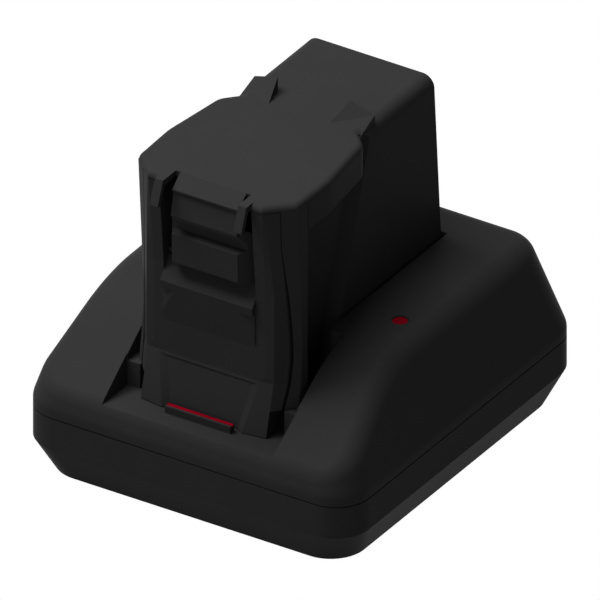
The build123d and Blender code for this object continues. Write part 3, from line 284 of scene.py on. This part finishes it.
def scratched_metal(name, tone, roughness, across, along):
    """Metal with noise stretched along Y for scratches and in patches for tone."""
    metal, tree, skin = new_material(name)
    skin.inputs["Metallic"].default_value = 1.0
    place = tree.nodes.new("ShaderNodeTexCoord")
    stretch = tree.nodes.new("ShaderNodeMapping")
    stretch.inputs["Scale"].default_value = (across, along, across)
    tree.links.new(place.outputs["Object"], stretch.inputs["Vector"])
    scratch = tree.nodes.new("ShaderNodeTexNoise")
    scratch.inputs["Scale"].default_value = 1.0
    scratch.inputs["Detail"].default_value = 3.0
    tree.links.new(stretch.outputs[0], scratch.inputs["Vector"])
    dull = own_noise(tree, 120.0)
    low_tone = tuple(value * 0.8 for value in tone)
    high_tone = tuple(min(1.0, value * 1.12) for value in tone)
    tree.links.new(between(tree, dull.outputs["Fac"], low_tone, high_tone), skin.inputs["Base Color"])
    gloss = tree.nodes.new("ShaderNodeMapRange")
    gloss.inputs["To Min"].default_value = roughness * 0.75
    gloss.inputs["To Max"].default_value = roughness * 1.25
    tree.links.new(scratch.outputs["Fac"], gloss.inputs["Value"])
    tree.links.new(gloss.outputs[0], skin.inputs["Roughness"])
    bump = tree.nodes.new("ShaderNodeBump")
    bump.inputs["Strength"].default_value = 0.2
    bump.inputs["Distance"].default_value = 0.00005
    tree.links.new(scratch.outputs["Fac"], bump.inputs["Height"])
    tree.links.new(bump.outputs["Normal"], skin.inputs["Normal"])
    return metal


dark_steel = scratched_metal("blackened_steel", (0.012, 0.012, 0.013), 0.60, 3000.0, 900.0)
dress("lever_pin", dark_steel)
dress("lever_spring", dark_steel)
zinc = scratched_metal("zinc_plated_steel", (0.55, 0.56, 0.58), 0.34, 2500.0, 2500.0)
for node in ("case_screws", "base_screws", "board_screws"):
    dress(node, zinc)
nickel = scratched_metal("nickel_plate", (0.62, 0.59, 0.52), 0.24, 4000.0, 400.0)
for node in ("inlet_pins", "contact_blades", "battery_terminals", "bus_strips_front", "bus_strips_rear"):
    dress(node, nickel)
dress("heat_sink", scratched_metal("extruded_aluminium", (0.60, 0.61, 0.62), 0.38, 3000.0, 120.0))

# Printed circuit boards: green lacquer over copper tracks. Dark parts or pale
# lamps stand on them, told apart by how far they rise from the board.


def circuit_board(name, axis, face, part_tone):
    """Lacquer with tracks up to a face of the board, and one tone beyond it."""
    board, tree, skin = new_material(name)
    skin.inputs["Roughness"].default_value = 0.3
    place = tree.nodes.new("ShaderNodeTexCoord")
    tracks = tree.nodes.new("ShaderNodeTexBrick")
    tracks.inputs["Color1"].default_value = (0.006, 0.075, 0.022, 1)
    tracks.inputs["Color2"].default_value = (0.008, 0.09, 0.028, 1)
    tracks.inputs["Mortar"].default_value = (0.03, 0.20, 0.06, 1)
    tracks.inputs["Scale"].default_value = 90.0
    tracks.inputs["Mortar Size"].default_value = 0.05
    tree.links.new(place.outputs["Object"], tracks.inputs["Vector"])
    parts = tree.nodes.new("ShaderNodeSeparateXYZ")
    tree.links.new(place.outputs["Object"], parts.inputs[0])
    above = tree.nodes.new("ShaderNodeMath")
    above.operation = "GREATER_THAN"
    above.inputs[1].default_value = face
    tree.links.new(parts.outputs[axis], above.inputs[0])
    blend = tree.nodes.new("ShaderNodeMix")
    blend.data_type = "RGBA"
    blend.inputs["B"].default_value = part_tone
    tree.links.new(above.outputs[0], blend.inputs["Factor"])
    tree.links.new(tracks.outputs["Color"], blend.inputs["A"])
    tree.links.new(blend.outputs["Result"], skin.inputs["Base Color"])
    return board


dark_part = (0.02, 0.02, 0.022, 1)
pale_lamp = (0.75, 0.76, 0.72, 1)
main_board_top = 0.01025
battery_board_top = 0.06145
gauge_board_front = 0.05405
dress("main_board", circuit_board("main_board_lacquer", "Z", main_board_top, dark_part))
dress("battery_board", circuit_board("battery_board_lacquer", "Z", battery_board_top, dark_part))
dress("gauge_board", circuit_board("gauge_board_lacquer", "Y", gauge_board_front, pale_lamp))

# Transformer: a dark sintered ferrite core with yellow tape round its coil.
# The tape laps show as fine rings.
dress("transformer_core", moulded("ferrite", 0.030, 0.6, 0.3, 0.0003))


def wound_skin(name, low_tone, high_tone, turns, roughness):
    """Rings stacked along Z in two tones, with a bump on each."""
    wound, tree, skin = new_material(name)
    skin.inputs["Roughness"].default_value = roughness
    place = tree.nodes.new("ShaderNodeTexCoord")
    rings = tree.nodes.new("ShaderNodeTexWave")
    rings.bands_direction = "Z"
    rings.inputs["Scale"].default_value = turns
    rings.inputs["Distortion"].default_value = 1.5
    tree.links.new(place.outputs["Object"], rings.inputs["Vector"])
    tree.links.new(between(tree, rings.outputs["Fac"], low_tone, high_tone), skin.inputs["Base Color"])
    bump = tree.nodes.new("ShaderNodeBump")
    bump.inputs["Strength"].default_value = 0.3
    bump.inputs["Distance"].default_value = 0.0001
    tree.links.new(rings.outputs["Fac"], bump.inputs["Height"])
    tree.links.new(bump.outputs["Normal"], skin.inputs["Normal"])
    return wound


coil_tape = wound_skin("coil_tape", (0.50, 0.34, 0.02), (0.68, 0.48, 0.04), 90.0, 0.35)
dress("transformer_winding", coil_tape)

# Choke: enamelled copper wire wound close round a powder ring, so its turns
# lie finer than the transformer's tape.
choke_wire = wound_skin("enamelled_copper", (0.22, 0.07, 0.02), (0.48, 0.17, 0.06), 160.0, 0.25)
dress("filter_choke", choke_wire)

# Cell holders: grey moulded frames that hold the cells near both ends. Both
# frames are of the same plastic.
holder_plastic = moulded("holder_plastic", 0.16, 0.5, 0.35, 0.0003)
dress("cell_holder_front", holder_plastic)
dress("cell_holder_rear", holder_plastic)

# Power transistors and terminal block: hard dark epoxy on the heat sink, and
# a glass filled moulding round the contact blades.
dress("power_transistors", moulded("epoxy", 0.022, 0.35, 0.4, 0.0002))
dress("terminal_block", moulded("block_moulding", 0.05, 0.5, 0.35, 0.0003))

# Capacitors, fuse and cells: plain sleeves or ceramic with bare metal ends,
# told apart by how far along the piece a point lies.


def sleeved(name, sleeve_tone, end_tone, axis, low_end, high_end, roughness):
    """Sleeve between two places along an axis, and metal beyond them."""
    sleeve, tree, skin = new_material(name)
    skin.inputs["Roughness"].default_value = roughness
    place = tree.nodes.new("ShaderNodeTexCoord")
    parts = tree.nodes.new("ShaderNodeSeparateXYZ")
    tree.links.new(place.outputs["Object"], parts.inputs[0])
    middle = tree.nodes.new("ShaderNodeMath")
    middle.operation = "COMPARE"
    middle.inputs[1].default_value = (low_end + high_end) / 2
    middle.inputs[2].default_value = (high_end - low_end) / 2
    tree.links.new(parts.outputs[axis], middle.inputs[0])
    shrink = own_noise(tree, 250.0)
    low_tone = tuple(value * 0.85 for value in sleeve_tone)
    high_tone = tuple(value * 1.15 for value in sleeve_tone)
    blend = tree.nodes.new("ShaderNodeMix")
    blend.data_type = "RGBA"
    blend.inputs["A"].default_value = end_tone
    tree.links.new(middle.outputs[0], blend.inputs["Factor"])
    tree.links.new(between(tree, shrink.outputs["Fac"], low_tone, high_tone), blend.inputs["B"])
    tree.links.new(blend.outputs["Result"], skin.inputs["Base Color"])
    bare = tree.nodes.new("ShaderNodeMath")
    bare.operation = "SUBTRACT"
    bare.inputs[0].default_value = 1.0
    tree.links.new(middle.outputs[0], bare.inputs[1])
    tree.links.new(bare.outputs[0], skin.inputs["Metallic"])
    return sleeve


can_tone = (0.6, 0.6, 0.6, 1)
cap_tone = (0.62, 0.60, 0.55, 1)
cell_tone = (0.6, 0.6, 0.58, 1)
capacitor_skin = sleeved("capacitor_sleeve", (0.02, 0.025, 0.05), can_tone, "Z", -0.01, 0.0396, 0.3)
fuse_skin = sleeved("fuse_ceramic", (0.72, 0.70, 0.64), cap_tone, "Y", 0.0335, 0.0425, 0.35)
cell_skin = sleeved("cell_sleeve", (0.02, 0.12, 0.20), cell_tone, "Y", -0.0145, 0.0495, 0.35)
dress("mains_capacitors", capacitor_skin)
dress("fuse", fuse_skin)
dress("cells", cell_skin)

# Lamps: small diodes in red tinted epoxy under the window and the light bar.
# They are off, so the epoxy itself gives the colour.
lamp_epoxy, tree, skin = new_material("lamp_epoxy")
skin.inputs["Roughness"].default_value = 0.15
cloud = own_noise(tree, 400.0)
lamp_tone = between(tree, cloud.outputs["Fac"], (0.30, 0.02, 0.02), (0.45, 0.05, 0.04))
tree.links.new(lamp_tone, skin.inputs["Base Color"])
dress("status_led", lamp_epoxy)
dress("bar_leds", lamp_epoxy)

bpy.context.scene.view_settings.view_transform = "Standard"
